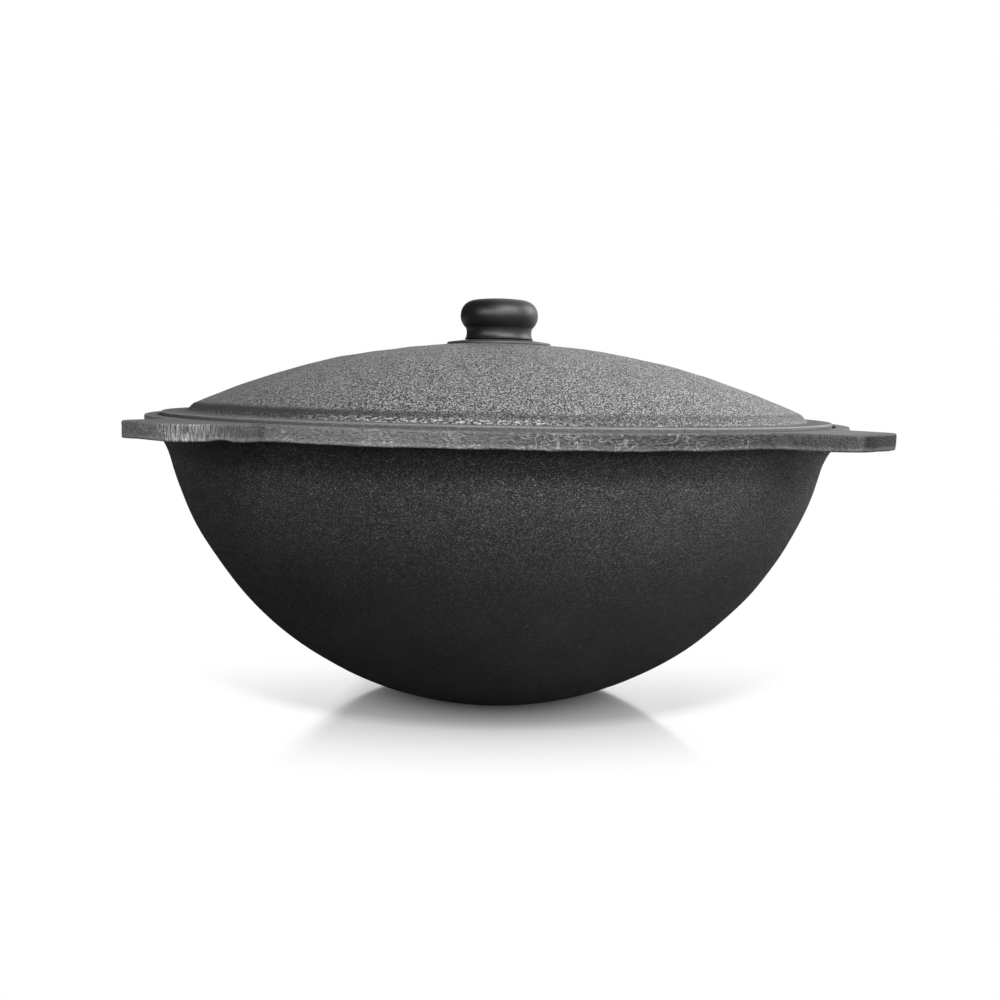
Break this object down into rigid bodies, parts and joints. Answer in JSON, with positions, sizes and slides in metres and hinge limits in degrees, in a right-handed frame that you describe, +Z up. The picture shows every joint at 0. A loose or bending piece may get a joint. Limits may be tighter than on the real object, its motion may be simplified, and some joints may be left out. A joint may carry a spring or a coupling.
{
  "type": "cauldron with lid",
  "caption": "Round-bottomed cast-iron cauldron with a flat lugged rim and a domed lift-off lid with a mushroom knob, for cooking over a stove or fire.",
  "frame": {"origin": "centre of the flat pad that the bowl stands on", "axes": "+Z up along the axis of the bowl and lid; the lugs point 45 degrees between X and Y; the picture was taken from about -Y"},
  "size_m": [0.38, 0.38, 0.2228],
  "materials": {
    "pot_iron": "fine sand-cast, charcoal, ground bright on the rim's edge",
    "lid_iron": "pebbly sand-cast, dark grey, smooth flat ring",
    "knob_plastic": "satin",
    "disc_plastic": "satin",
    "insert_brass": "turned",
    "fastener_steel": "zinc plated"
  },
  "bodies": {
    "pot": {"pot": "pot_iron"},
    "lid": {"lid": "lid_iron", "knob": "knob_plastic", "knob_base_disc": "disc_plastic", "knob_insert": "insert_brass", "knob_screw": "fastener_steel", "spring_washer": "fastener_steel", "flat_washer": "fastener_steel"}
  },
  "joints": [
    {"name": "lid_lift", "type": "slide", "parent": "pot", "child": "lid", "axis": [0, 0, 1], "range_m": [0, 0.2]}
  ]
}
